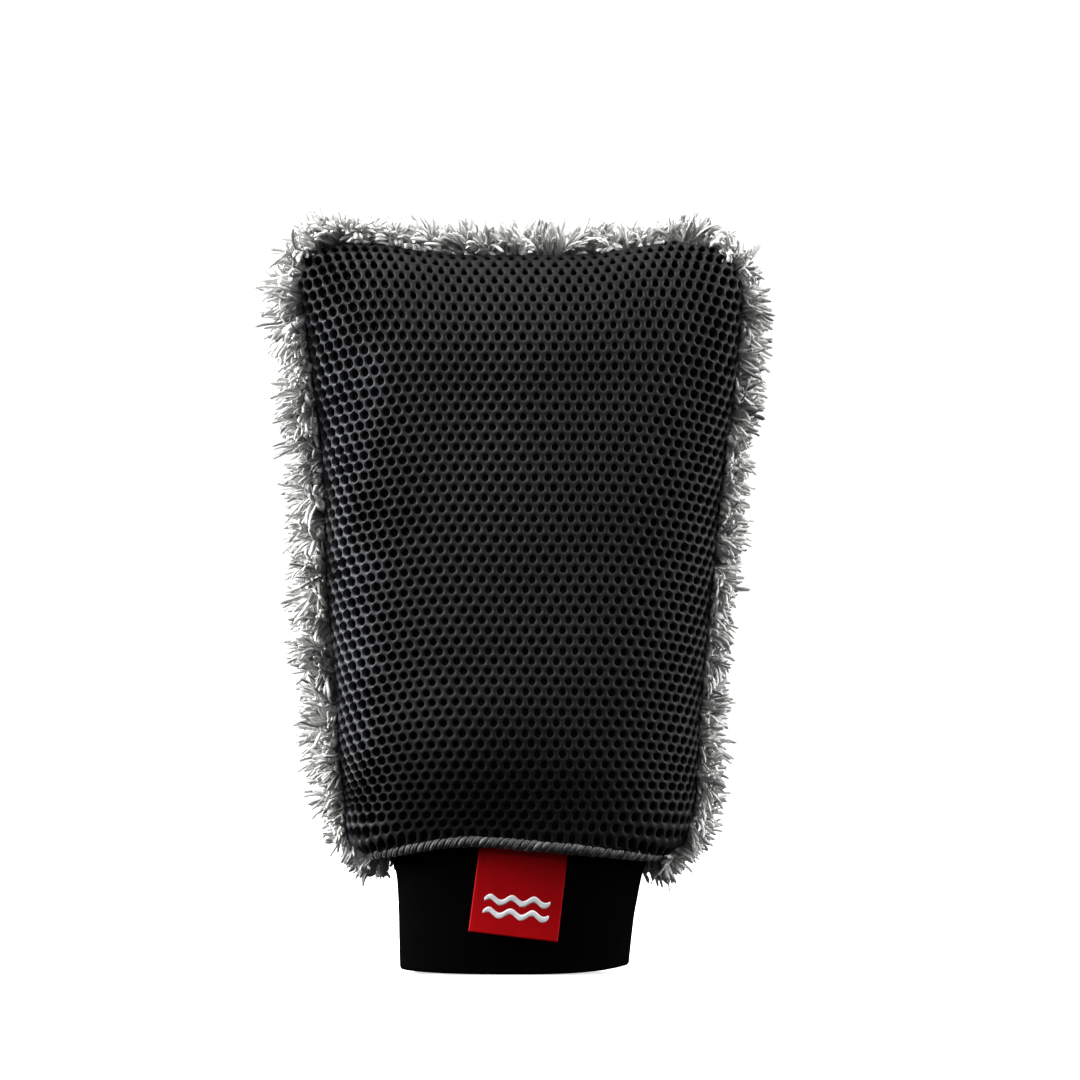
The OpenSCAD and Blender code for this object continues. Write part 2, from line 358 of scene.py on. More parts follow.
def foam_material():
    """Matt black foam with painted light and shade: darker and duller towards its sewn edge ("strip"),
    painted shade, and lighter or darker over the back ("tone"), painted light and shade.
    """
    m = Mat("face_foam", (0.010, 0.0105, 0.0115), 0.5, Specular_IOR_Level=0.16)
    # painted shade: the colour falls to a fifth towards the sewn edge (strip), with a random grain
    strip = m.attribute("strip")
    tone = m.math("MULTIPLY", m.noise(28, 4), m.ramp(strip, [(0.25, (0.2, 0.2, 0.2)), (0.9, (1, 1, 1))]))
    # painted light and shade over the back (tone) scale the colour
    tone = m.math("MULTIPLY", tone, m.attribute("tone"))
    m.color(m.ramp(tone, [(0.0, (0.0005, 0.0005, 0.0005)), (0.12, (0.0025, 0.0026, 0.0028)),
                          (0.3, (0.009, 0.0094, 0.0102)), (0.5, (0.013, 0.0136, 0.0148)),
                          (0.85, (0.058, 0.0602, 0.0655))]))
    # the painted shade at the edge and the painted light and shade over the back also set the gloss: duller
    # where darker
    inward = m.ramp(strip, [(0.25, (0.1, 0.1, 0.1)), (0.9, (1, 1, 1))])
    painted_shade_gloss = m.math("MULTIPLY", m.math("MULTIPLY", inward, m.attribute("tone")), 0.62)
    dull = m.ramp(painted_shade_gloss, [(0.05, (1, 1, 1)), (0.38, (0.56, 0.56, 0.56)), (0.9, (0.36, 0.36, 0.36))])
    m.nt.links.new(dull, m.bsdf.inputs["Roughness"])
    fine = m.math("ADD", m.noise(2600, 2), m.math("MULTIPLY", m.noise(900, 2), 0.6))
    m.bump(fine, 0.22, 0.0001)
    return m.m


def underlay_material():
    m = Mat("underlay_knit", (0.02, 0.02, 0.023), 0.32)
    weave = m.math("MULTIPLY", m.wave(420, "X", 1.0), m.wave(420, "Z", 1.0))
    m.color(m.ramp(weave, [(0.1, (0.014, 0.014, 0.016)), (0.8, (0.09, 0.09, 0.1))]))
    m.bump(weave, 0.8, 0.0004)
    return m.m


def backing_material():
    m = Mat("backing_cloth", (0.12, 0.12, 0.13), 0.9)
    weave = m.math("MULTIPLY", m.wave(300, "X", 0.6), m.wave(300, "Z", 0.6))
    m.color(m.ramp(m.math("ADD", weave, m.math("MULTIPLY", m.noise(120), 0.5)),
                   [(0.2, (0.06, 0.06, 0.066)), (1.0, (0.2, 0.2, 0.21))]))
    m.bump(weave, 0.6, 0.0004)
    return m.m


def pile_material():
    m = Mat("pile_yarn", (0.42, 0.43, 0.42), 0.85, Specular_IOR_Level=0.2, Sheen_Weight=0.2,
            Sheen_Roughness=0.5)
    shade = m.attribute("shade")
    m.color(m.ramp(shade, [(0.0, (0.05, 0.05, 0.051)), (0.3, (0.17, 0.17, 0.167)),
                           (0.6, (0.45, 0.45, 0.44)), (1.0, (0.7, 0.7, 0.686))]))
    return m.m


def knit_material():
    m = Mat("cuff_knit", (0.002, 0.002, 0.0022), 0.9, Specular_IOR_Level=0.0)
    ribs = m.math("MULTIPLY", m.wave(520, "X", 0.4), m.wave(700, "Z", 0.8))
    m.color(m.ramp(m.math("ADD", m.math("MULTIPLY", ribs, 0.7), m.math("MULTIPLY", m.noise(60), 0.4)),
                   [(0.0, (0.0009, 0.0009, 0.001)), (1.0, (0.0027, 0.0027, 0.0028))]))
    m.bump(ribs, 0.35, 0.0002)
    return m.m


def thread_material(name, dark, light):
    m = Mat(name, light, 0.6, Sheen_Weight=0.2)
    m.color(m.ramp(m.attribute("shade"), [(0.0, dark), (1.0, light)]))
    return m.m


def label_material():
    m = Mat("label_satin", (0.34, 0.0, 0.002), 0.55, Specular_IOR_Level=0.06)
    twill = m.wave(900, "Z", 0.5, m.turned((0, math.radians(8), 0)))
    warp = m.wave(1300, "X", 0.3)
    shine = m.math("ADD", m.math("MULTIPLY", twill, 0.55), m.math("MULTIPLY", m.noise(45, 3), 0.5))
    m.color(m.ramp(shine, [(0.1, (0.27, 0.0002, 0.0015)), (0.9, (0.43, 0.0004, 0.0035))]))
    m.bump(m.math("ADD", twill, m.math("MULTIPLY", warp, 0.5)), 0.25, 0.0001)
    return m.m


def mark_material():
    m = Mat("mark_thread", (0.8, 0.8, 0.82), 0.5)
    m.color(m.ramp(m.wave(1400, "X", 0.4), [(0.0, (0.55, 0.55, 0.58)), (0.7, (0.86, 0.86, 0.88))]))
    m.bump(m.wave(1400, "X", 0.4), 0.3, 0.0001)
    return m.m


FOAM, UNDERLAY, BACKING, PILE = foam_material(), underlay_material(), backing_material(), pile_material()
KNIT, LABEL_RED, MARK = knit_material(), label_material(), mark_material()
OVERLOCK = thread_material("overlock_thread", (0.004, 0.004, 0.0045), (0.15, 0.153, 0.157))
SEAM = thread_material("seam_thread", (0.02, 0.02, 0.021), (0.12, 0.12, 0.122))

# ---- the perforated face sheet --------------------------------------------------------------------
PITCH, ROW, FIRST_ROW = 4.5, 3.74, 1.2
SHEET_LO, SHEET_THICK, SEWN_THICK, SEWN_BAND = 1.3, 3.4, 0.9, 5.0
HEXAGON = np.arange(12)
HEXAGON_ANGLE = np.radians(30 * HEXAGON)
# a cell nearer the edge than CELL_MARGIN is left out, and nearer than HOLE_MARGIN it has no hole
CELL_MARGIN, HOLE_MARGIN, SMALL_HOLE_MARGIN = 0.4, 2.25, 3.4
# the rings of a hole from its rim down: radius, radius on the flanks, height as a share of the thickness
HOLE_RINGS = [(1.56, 2.02, 0.972), (1.12, 1.64, 0.76), (1.0, 1.5, 0.06)]


def puff(s, w):
    """The sheet's local thickness: full inside, pressed flat where it is sewn."""
    d = np.clip(BACK_SIDE.edge(s, w) / SEWN_BAND, 0, 1)
    return SEWN_THICK + (SHEET_THICK - SEWN_THICK) * np.sqrt(1 - (1 - d) ** 2)


def on_cloth(s, w):
    """s kept within the cut cloth's width at w."""
    half = BACK_SIDE.cut_half(w)
    return np.clip(s, -half, half)


def droop(a, b):
    """How far the rows hang down beside the middle; a and b are the lattice's own coordinates."""
    x = a / BACK_SIDE.half.max()
    left = np.clip((-x - 0.22) / 0.78, 0, 1) ** 2 * (6.5 + 5 * (1 - ramp(30, 150, b)))
    right = np.clip((x - 0.3) / 0.7, 0, 1) ** 2 * 6.5
    return (left + right) * ramp(0, 45, b) * (1 - 0.75 * ramp(195, 250, b))


def laid(a, b):
    """Where a lattice point lies on the cloth: closer together towards the sides and the top."""
    height = BACK_SIDE.height
    w = b - droop(a, b) - 0.05 * np.clip(b - 150, 0, None) ** 2 / (height - 150)
    half = BACK_SIDE.half_at(np.clip(w, 0, height))
    x = np.clip(a / half, -1.3, 1.3)
    w = w * (1 - 0.5 * ramp(0.5, 0.85, np.abs(x)) * (1 - ramp(0, 14, w)))
    return a - 0.09 * half * x ** 3, w


def wobble(s, w):
    """The lattice's small unevenness across the cloth."""
    return 0.14 * np.sin(w * 0.31 + 1.0) * np.sin(s * 0.23)


def lattice_cells():
    """The cells on the cloth: their places s and w, the lattice's own a and b, and how far from the edge."""
    surf = BACK_SIDE
    rows, columns = int(surf.height / ROW) + 6, int(surf.half.max() / PITCH) + 2
    j, i = np.meshgrid(np.arange(rows), np.arange(-columns, columns + 1), indexing="ij")
    a, b = ((i + 0.5 * (j % 2)) * PITCH).ravel(), (j * ROW + FIRST_ROW).ravel()
    s, w = laid(a, b)
    inside = np.where((w > 0) & (w < surf.height), surf.edge(s, w), -1)
    keep = inside > CELL_MARGIN
    return s[keep], w[keep], a[keep], b[keep], inside[keep]


def shared_points(a, b):
    """The corners and mid-sides of the cells, one point where cells meet, and each cell's index of its 12."""
    reach = np.where(HEXAGON % 2 == 1, PITCH / math.sqrt(3), PITCH / 2)
    across = a[:, None] + reach * np.cos(HEXAGON_ANGLE)
    up = b[:, None] + reach * np.sin(HEXAGON_ANGLE) * ROW / (PITCH * math.sqrt(3) / 2)
    keys = np.stack([np.round(across * 64), np.round(up * 64)], -1).reshape(-1, 2).astype(int)
    points, index = np.unique(keys, axis=0, return_inverse=True)
    return points[:, 0] / 64.0, points[:, 1] / 64.0, index.reshape(len(a), 12)


def outline(index, count):
    """The two ends of every edge that only one cell has."""
    a, b = index, np.roll(index, -1, axis=1)
    pair = np.minimum(a, b).ravel().astype(np.int64) * count + np.maximum(a, b).ravel()
    _, first, uses = np.unique(pair, return_index=True, return_counts=True)
    return a.ravel()[first[uses == 1]], b.ravel()[first[uses == 1]]


def snap_to_edge(s, w, rim):
    """Moves the outermost points to the cloth's cut edge and returns the ones at the mouth."""
    surf = BACK_SIDE
    rs, rw = s[rim], w[rim]
    half = surf.cut_half(rw)
    near = np.argmin([half - np.abs(rs), rw, surf.height - rw], axis=0)
    w[rim] = np.where(near == 1, 0, np.where(near == 2, surf.height, rw))
    s[rim] = np.where(near == 0, np.sign(rs) * half, rs)
    # at the two top corners they go straight out to the rounded edge
    out_s = np.abs(rs) - (surf.half_at(np.minimum(rw, surf.height)) - surf.corner)
    out_w = rw - (surf.height - surf.corner)
    turned = (out_s > 0) & (out_w > 0)
    further = surf.corner / np.maximum(np.hypot(out_s, out_w), 1e-6) - 1
    s[rim] = np.where(turned, np.sign(rs) * (np.abs(rs) + out_s * further), s[rim])
    w[rim] = np.where(turned, rw + out_w * further, w[rim])
    return rim[near == 1]


def foam_painted_light(s, w):
    """Painted light and shade on the foam: darkest low in the middle, darker towards the bottom and the top
    edge, lightest on the left flank and lighter on the right.
    """
    place = BACK_SIDE.at(s, w, 0 * s)
    x, z = place[:, 0], place[:, 2]
    # painted shade: a dark patch low in the middle, and darker towards the bottom
    tone = 0.62 - 0.44 * gauss(x, z, -14, 56, 44, 28) - 0.14 * (1 - ramp(60, 200, z))
    # painted light on the left flank, less near the top
    tone = tone + 0.9 * ramp(-38, -64, x) * (1 - 0.5 * ramp(215, 250, z))
    # painted light on the right flank, and painted shade along the top
    return tone + 0.16 * ramp(30, 60, x) - 0.14 * ramp(225, 262, z)


def face_sheet():
    surf = BACK_SIDE
    cell_s, cell_w, a, b, inside = lattice_cells()
    point_a, point_b, index = shared_points(a, b)
    point_s, point_w = laid(point_a, point_b)
    is_corner = np.zeros(len(point_s))
    is_corner[index[:, 1::2].ravel()] = 1
    rim_a, rim_b = outline(index, len(point_s))
    rim = np.unique(np.concatenate([rim_a, rim_b]))
    at_mouth = snap_to_edge(point_s, point_w, rim)
    inner = np.setdiff1d(np.arange(len(point_s)), rim)
    point_s[inner] += wobble(point_s, point_w)[inner]

    count = len(cell_s)
    open_cell = (inside > HOLE_MARGIN) & ~np.isin(index, at_mouth).any(axis=1)
    across = cell_s / surf.half_at(cell_w)
    flank = ramp(0.40, 0.84, -across) * (0.75 + 0.25 * ramp(220, 150, cell_w)) + 0.55 * ramp(0.5, 0.9, across)
    size = (1 + rng.normal(0, 0.03, count)) * np.where(inside < SMALL_HOLE_MARGIN, 0.86, 1.0)
    hole_s = cell_s + wobble(cell_s, cell_w) + rng.normal(0, 0.05, count)
    hole_w = cell_w + rng.normal(0, 0.05, count)
    thick = puff(on_cloth(hole_s, hole_w), hole_w)
    squeeze = (1 + rng.normal(0, 0.03, count)) * (1 - 0.2 * np.clip(across, -1, 1) ** 2)

    def ring(radius, on_flank, level):
        r = ((radius + (on_flank - radius) * flank) * size)[:, None]
        s = hole_s[:, None] + r * np.cos(HEXAGON_ANGLE) * squeeze[:, None]
        w = hole_w[:, None] + r * np.sin(HEXAGON_ANGLE)
        return s.ravel(), w.ravel(), np.repeat(thick * level, 12)

    # the points' blocks: the front, the holes' rings, the plain cells' middles, then the same for the back
    front = puff(on_cloth(point_s, point_w), point_w) * np.where(is_corner > 0, 1.02, 0.97)
    blocks = [(point_s, point_w, front)] + [ring(*sizes) for sizes in HOLE_RINGS]
    blocks += [(hole_s, hole_w, thick), (point_s, point_w, 0 * point_s), (hole_s, hole_w, 0 * hole_s)]
    s_all, w_all, h_all = (np.concatenate([block[k] for block in blocks]) for k in range(3))
    starts = np.cumsum([0] + [len(block[0]) for block in blocks])
    middle_at, back_at, back_middle_at = starts[4:7]
    pts = surf.at(s_all, w_all, SHEET_LO + h_all)

    of_cell = np.arange(count)[:, None] * 12 + HEXAGON
    levels = [index] + [start + of_cell for start in starts[1:4]] + [back_at + index]
    after = (HEXAGON + 1) % 12
    quads = []
    for upper, lower in zip(levels, levels[1:]):
        p, q = upper[open_cell], lower[open_cell]
        quads.append(np.stack([p, p[:, after], q[:, after], q], -1).reshape(-1, 4))
    plain = np.flatnonzero(~open_cell)
    rim_of, rim_after = index[plain], index[plain][:, after]
    middle = np.repeat(plain, 12).reshape(-1, 12)
    tri = np.stack([rim_of, rim_after, middle_at + middle], -1).reshape(-1, 3)
    tri_back = np.stack([back_at + rim_after, back_at + rim_of, back_middle_at + middle], -1).reshape(-1, 3)
    side = np.stack([rim_b, rim_a, back_at + rim_a, back_at + rim_b], -1)
    quad_faces = np.concatenate(quads + [side])
    tri_faces = np.concatenate([tri, tri_back])

    # bake map: the sheet laid flat, its back in a strip beside it
    u = (s_all / (2 * surf.half.max() + 4) + 0.5) * 0.88 + 0.005
    v = (w_all / (surf.height + 2)) * 0.98 + 0.01

    def bake_map(faces, is_back):
        uv = np.stack([u, v], -1)[faces.ravel()]
        shift = np.repeat(is_back, faces.shape[1])
        uv[shift, 0] = 0.9 + uv[shift, 0] * 0.09
        return uv

    quad_back = np.arange(len(quad_faces)) >= len(quads[0]) * len(HOLE_RINGS)
    tri_back_too = np.arange(len(tri_faces)) >= len(tri)
    uv = np.concatenate([bake_map(quad_faces, quad_back), bake_map(tri_faces, tri_back_too)])
    used = np.unique(np.concatenate([quad_faces.ravel(), tri_faces.ravel()]))
    renumber = np.full(len(pts), -1)
    renumber[used] = np.arange(len(used))
    # strip: nearness to the sewn edge, for the painted shade along it
    strip = np.clip(surf.edge(on_cloth(s_all, w_all), w_all) / 3.4, 0, 1)
    # tone: painted light and shade over the back
    return make_mesh("face_sheet", pts[used], [renumber[quad_faces], renumber[tri_faces]], FOAM, uv=uv,
                     attributes={"strip": strip[used], "tone": foam_painted_light(s_all, w_all)[used]})


# ---- plain cloth ------------------------------------------------------------------------------------
CLOTH_GRID, CLOTH_TRIM = 90, 0.3


def plain_cloth(name, surf, thick, material):
    """A thin closed sheet all over a patch, a little inside its edge."""
    w = np.linspace(CLOTH_TRIM, surf.height - CLOTH_TRIM, CLOTH_GRID)[:, None] * np.ones((1, CLOTH_GRID))
    s = np.linspace(-1, 1, CLOTH_GRID)[None, :] * (surf.cut_half(w) - CLOTH_TRIM)
    return slab(name, surf.at(s, w, np.full(s.shape, thick)), surf.at(s, w, 0 * s), material)


# ---- tubes: rolls, threads and strands --------------------------------------------------------------


def frames(path, closed, up=(0, 0, 1)):
    """The direction and the two cross directions at every point of a path."""
    path = np.asarray(path, float)
    if closed:
        d = np.roll(path, -1, axis=0) - np.roll(path, 1, axis=0)
    else:
        d = np.gradient(path, axis=0)
    d /= np.linalg.norm(d, axis=1, keepdims=True)
    a = np.cross(d, np.asarray(up, float))
    a /= np.maximum(np.linalg.norm(a, axis=1, keepdims=True), 1e-9)
    return d, a, np.cross(a, d)


def tube(path, radius, sides, closed=False, up=(0, 0, 1)):
    """Points and faces of a round tube along a path, closed or with end caps."""
    path = np.asarray(path, float)
    n = len(path)
    _, a, b = frames(path, closed, up)
    ang = 2 * np.pi * np.arange(sides) / sides
    r = np.broadcast_to(np.asarray(radius, float), (n,))[:, None, None]
    ring = np.cos(ang)[None, :, None] * a[:, None] + np.sin(ang)[None, :, None] * b[:, None]
    pts = (path[:, None] + r * ring).reshape(-1, 3)
    faces = grid_faces(n, sides, wrap_rows=closed, wrap_columns=True)
    caps = np.zeros((0, 3), int)
    if not closed:
        k = np.arange(sides)
        pts = np.concatenate([pts, path[:1], path[-1:]])
        caps = np.concatenate([np.stack([np.full(sides, n * sides), (k + 1) % sides, k], -1),
                               np.stack([np.full(sides, n * sides + 1), (n - 1) * sides + k,
                                         (n - 1) * sides + (k + 1) % sides], -1)])
    return pts, faces, caps


class Bundle:
    """Collects tubes into one mesh; each tube gets a strip of the bake map."""

    def __init__(self):
        self.parts, self.count = [], 0

    def add(self, path, radius, sides, shade, closed=False, up=(0, 0, 1)):
        pts, quads, tris = tube(path, radius, sides, closed, up)
        shades = np.broadcast_to(shade, (len(pts),))
        self.parts.append((pts, quads + self.count, tris + self.count, shades))
        self.count += len(pts)

    def build(self, name, material):
        n = len(self.parts)
        m = math.ceil(math.sqrt(n))
        quv, tuv = [], []
        for k, (_, quads, tris, _) in enumerate(self.parts):
            cell = np.array([k % m, k // m], float)
            q = np.arange(len(quads)) / max(1, len(quads))
            e = 0.9 / max(1, len(quads))
            box = np.stack([np.stack([np.full(len(quads), a), 0.05 + 0.9 * (q + b * e)], -1)
                            for a, b in ((0.05, 0), (0.95, 0), (0.95, 1), (0.05, 1))], 1)
            quv.append((cell + box.reshape(-1, 2)) / m)
            tuv.append((cell + np.tile([[0.05, 0.0], [0.5, 0.04], [0.95, 0.0]], (len(tris), 1))) / m)
        points = np.concatenate([p[0] for p in self.parts])
        quads = np.concatenate([p[1] for p in self.parts])
        tris = np.concatenate([p[2] for p in self.parts])
        faces = [quads, tris] if len(tris) else [quads]
        uv = np.concatenate(quv + tuv) if len(tris) else np.concatenate(quv)
        shade = np.concatenate([p[3] for p in self.parts])
        return make_mesh(name, points, faces, material, uv=uv, attributes={"shade": shade})


def around(path, turns, radius, per_turn, phase=0.0, up=(0, 0, 1), closed=False):
    """A slightly uneven helix round a path, with per_turn points to a turn."""
    path = np.asarray(path, float)
    seg = np.linalg.norm(np.diff(np.concatenate([path, path[:1]]) if closed else path, axis=0), axis=1)
    at = np.concatenate([[0], np.cumsum(seg)])
    src = np.concatenate([path, path[:1]]) if closed else path
    _, a, b = frames(path, closed, up)
    if closed:
        a, b = np.concatenate([a, a[:1]]), np.concatenate([b, b[:1]])
    n = int(turns * per_turn)
    x = np.linspace(0, at[-1], n, endpoint=not closed)
    c, aa, bb = (np.stack([np.interp(x, at, g[:, k]) for k in range(3)], -1) for g in (src, a, b))
    w = 2 * np.pi * turns * np.arange(n) / (n if closed else n - 1) + phase
    wob = 1 + 0.06 * np.sin(w * 0.37) + 0.05 * np.sin(w * 0.113)
    return c + radius * wob[:, None] * (np.cos(w)[:, None] * aa + np.sin(w)[:, None] * bb)


MOUTH_STEPS, MOUTH_OUT, MOUTH_RISE = 300, 4.2, 1.5


def mouth_path():
    """The line round the pocket's mouth that the overlock follows."""
    t = np.arange(MOUTH_STEPS) * 360.0 / MOUTH_STEPS
    v = np.full(MOUTH_STEPS, 0.004)
    p = pocket(t, v)
    du = pocket(t + 1.5, v) - pocket(t - 1.5, v)
    dv = pocket(t, v + 0.012) - pocket(t, v - 0.004)
    nn = np.cross(du, dv)
    nn /= np.linalg.norm(nn, axis=1, keepdims=True)
    return p + MOUTH_OUT * nn + [0, 0, MOUTH_RISE]


STITCH_PITCH, CORE_RADIUS, WINDING_RADIUS, THREAD_RADIUS, THREAD_SIDES = 7.6, 1.15, 1.5, 0.68, 7
THREAD_TONES = (0.34, 0.06, 0.2, 0.05, 0.27, 0.08)


def mouth_overlock():
    """Flecked threads wound side by side round a core, all the way round the mouth."""
    path = mouth_path()
    bundle = Bundle()
    bundle.add(path, CORE_RADIUS, sides=10, shade=0.02, closed=True)
    length = np.linalg.norm(np.diff(path, axis=0), axis=1).sum()
    turns = round(length / STITCH_PITCH)
    for k, tone in enumerate(THREAD_TONES):
        phase = k * 2 * math.pi / len(THREAD_TONES) + 0.25 * math.sin(k * 9.1)
        line = around(path, turns, WINDING_RADIUS, 26, phase, closed=True)
        n = len(line)
        marks = np.arange(0, n + 8, 7)
        fleck = np.interp(np.arange(n), marks, rng.uniform(0.0, 1.45, len(marks)) ** 3)
        radius = THREAD_RADIUS * (1 + 0.16 * np.sin(np.arange(n) * 0.71 + k))
        shade = np.clip(np.repeat(tone * fleck, THREAD_SIDES), 0, 1)
        bundle.add(line, radius, THREAD_SIDES, shade, closed=True)
    return bundle.build("overlock_stitches", OVERLOCK)


def perimeter_seam():
    """A corded roll up one side, over the top and down the other, with a thread wound round it."""
    v, e = np.linspace(0.01, 0.97, 90), 0.01
    p = pocket(0.0, v)
    du = pocket(1.5, v) - pocket(-1.5, v)
    dv = pocket(0.0, np.minimum(v + e, 1)) - pocket(0.0, v - e)
    n = np.cross(du, dv)
    n /= np.linalg.norm(n, axis=1, keepdims=True)
    right = p + 2.3 * n
    left = right * [-1, 1, 1] + np.stack([2 * side_shift(right[:, 2]), 0 * v, 0 * v], -1)
    w_top = half_width(SHOULDER_Z + CROWN * math.sin(math.radians(CAP_DEG)))
    x = np.linspace(w_top * 0.93, -w_top * 0.93, 60)
    top = np.stack([x + 2.0, 0 * x, TOP_Z + TOP_PROUD + ear(x, np.full(60, TOP_Z))], -1)
    path = np.concatenate([right, top, left[::-1]])
    bundle = Bundle()
    bundle.add(path, radius=1.3, sides=8, shade=0.2, up=(0, 1, 0))
    thread = around(path, turns=200, radius=1.45, per_turn=10, up=(0, 1, 0))
    bundle.add(thread, radius=0.2, sides=5, shade=0.8, up=(0, 1, 0))
    return bundle.build("closing_seam", SEAM)


# ---- pile -----------------------------------------------------------------------------------------


def behind_panel(x, z):
    """How far inside the back panel's outline a point is, seen from the front; negative outside it."""
    w = half_width(np.clip(z, 47, TOP_Z)) + SIDE_PROUD
    top = TOP_Z + TOP_PROUD + ear(x, np.full(np.shape(x), TOP_Z))
    right = w + side_shift(z) - x
    left = w - side_shift(z) + soft(LEFT_OUT, z, 12) + x
    side, above, bend = np.minimum(left, right), top - z, CORNER_ROUND + 4.0
    turned = bend - np.hypot(np.maximum(bend - side, 0), np.maximum(bend - above, 0))
    return np.minimum(np.minimum(turned, np.minimum(side, above)), z - 46)


def jittered(surf, step, keep):
    """Points spread over a patch, about step apart, where keep(s, w) is true."""
    s, w = np.meshgrid(np.arange(-surf.half.max(), surf.half.max(), step),
                       np.arange(0.2, surf.height, step * 0.87))
    s = s + (np.arange(len(s))[:, None] % 2) * step / 2
    s = (s + rng.uniform(-0.42, 0.42, s.shape) * step).ravel()
    w = (w + rng.uniform(-0.42, 0.42, w.shape) * step).ravel()
    ok = (w > 0.1) & (w < surf.height - 0.05) & (np.abs(s) < surf.half_at(w) - 0.2)
    s, w = s[ok], w[ok]
    ok = keep(s, w)
    return s[ok], w[ok]


def unit(v):
    """Each vector at length 1."""
    return v / np.maximum(np.linalg.norm(v, axis=-1, keepdims=True), 1e-9)


CLUMP = 3.5
ROOT_HEIGHT, TUFT_HEIGHT = 1.3, 1.4


def clump_field(surf):
    """The tufts that the strands gather into."""
    s, w = jittered(surf, CLUMP, lambda s, w: np.ones(len(s), bool))
    n = len(s)
    lean = rng.normal(0, 1, (n, 3))
    return {"s": s, "w": w, "p": surf.at(s, w, np.full(n, TUFT_HEIGHT)),
            "lean": unit(lean) * rng.uniform(0.05, 0.5, (n, 1)),
            "curl": rng.uniform(0.0, 1.8, n), "axis": unit(rng.normal(0, 1, (n, 3))),
            "wave": rng.uniform(0, 6.28, n), "long": rng.uniform(0.82, 1.12, n),
            "shade": rng.normal(0.76, 0.11, n)}


def nearest(cs, cw, s, w):
    """Index of the nearest clump, by a coarse grid search."""
    cell = CLUMP * 1.6
    buckets = {}
    for k, key in enumerate(zip((cs // cell).astype(int), (cw // cell).astype(int))):
        buckets.setdefault(key, []).append(k)
    out = np.zeros(len(s), int)
    keys = np.stack([(s // cell).astype(int), (w // cell).astype(int)], -1)
    order = np.lexsort(keys.T)
    bounds_ = np.flatnonzero(np.any(np.diff(keys[order], axis=0) != 0, axis=1)) + 1
    for group in np.split(order, bounds_):
        i, j = keys[group[0]]
        cand = [k for a in (-1, 0, 1) for b in (-1, 0, 1) for k in buckets.get((i + a, j + b), [])]
        cand = np.array(cand if cand else [0])
        d = (s[group, None] - cs[cand]) ** 2 + (w[group, None] - cw[cand]) ** 2
        out[group] = cand[d.argmin(axis=1)]
    return out


def strand_paths(s, w, clumps, k, segs, reach):
    """The middle lines of strands rooted at (s, w) and gathered into the clumps k, with what shades them."""
    surf, n = PALM_SIDE, len(s)
    root, normal = surf.at(s, w, np.full(n, ROOT_HEIGHT)), surf.normal(s, w)
    # near the edges the pile fans out past them, towards the back panel
    d_side, d_top = surf.half_at(w) - np.abs(s), surf.height - w
    forward = np.maximum(0.95 * (1 - ramp(0, 13, d_side)), 1.15 * (1 - ramp(0, 12, d_top)))
    down = 0.16 * (1 - ramp(0, 12, w))
    fan = np.stack([0 * s, -forward, -down + 0.35 * (1 - ramp(0, 10, d_top))], -1)
    d0 = unit(normal + fan + clumps["lean"][k] + rng.normal(0, 0.13, (n, 3)))
    axis = clumps["axis"][k] + rng.normal(0, 0.3, (n, 3))
    e = unit(axis - (axis * d0).sum(-1, keepdims=True) * d0)
    across = np.cross(d0, e)

    # longer on the left and at the top's middle, shorter at the mouth
    left = np.where(root[:, 0] < 0, 1.0, 0.0)
    side, crown = 1 - ramp(0, 30, d_side), 1 - ramp(0, 14, d_top)
    length = reach * clumps["long"][k] * rng.uniform(0.78, 1.0, n)
    length *= 1 + side * np.where(left > 0, 0.26 * ramp(10, 45, w), 0.0)
    length *= 1 + crown * (0.3 - 0.34 * ramp(18, 50, np.abs(root[:, 0])))
    length *= 1 - 0.3 * (1 - ramp(0, 20, w)) * (1 - side) - 0.2 * (1 - ramp(0, 16, w)) * left

    # each bends along an arc towards e, draws in to its tuft, waves and sinks a little
    theta = clumps["curl"][k] + rng.normal(0, 0.3, n)
    theta = np.where(np.abs(theta) < 0.05, 0.05, theta)[:, None]
    u = np.concatenate([np.linspace(0, 0.86, segs - 1), [0.96, 1.0]])[None, :]
    ahead, aside = (np.sin(theta * u) / theta)[..., None], ((1 - np.cos(theta * u)) / theta)[..., None]
    path = root[:, None] + length[:, None, None] * (ahead * d0[:, None] + aside * e[:, None])
    path = path + (clumps["p"][k] - root)[:, None] * (0.12 * u[0] ** 0.8)[None, :, None]
    wave = (clumps["wave"][k] + rng.normal(0, 0.35, n))[:, None]
    sway = 0.75 * (np.sin(wave + 7.5 * u) - np.sin(wave))[..., None]
    path = path + sway * across[:, None] * u[..., None] ** 0.5
    path = path + 0.35 * np.sin(2 * wave + 9 * u)[..., None] * e[:, None] * u[..., None]
    path[..., 2] -= 1.3 * u ** 2
    # none comes forward through the back panel
    inside = behind_panel(path[..., 0], path[..., 2])
    path[..., 1] = np.maximum(path[..., 1], 1.4 - 15 * (1 - ramp(-4.5, 0.6, inside)))
    return path, across, u, crown


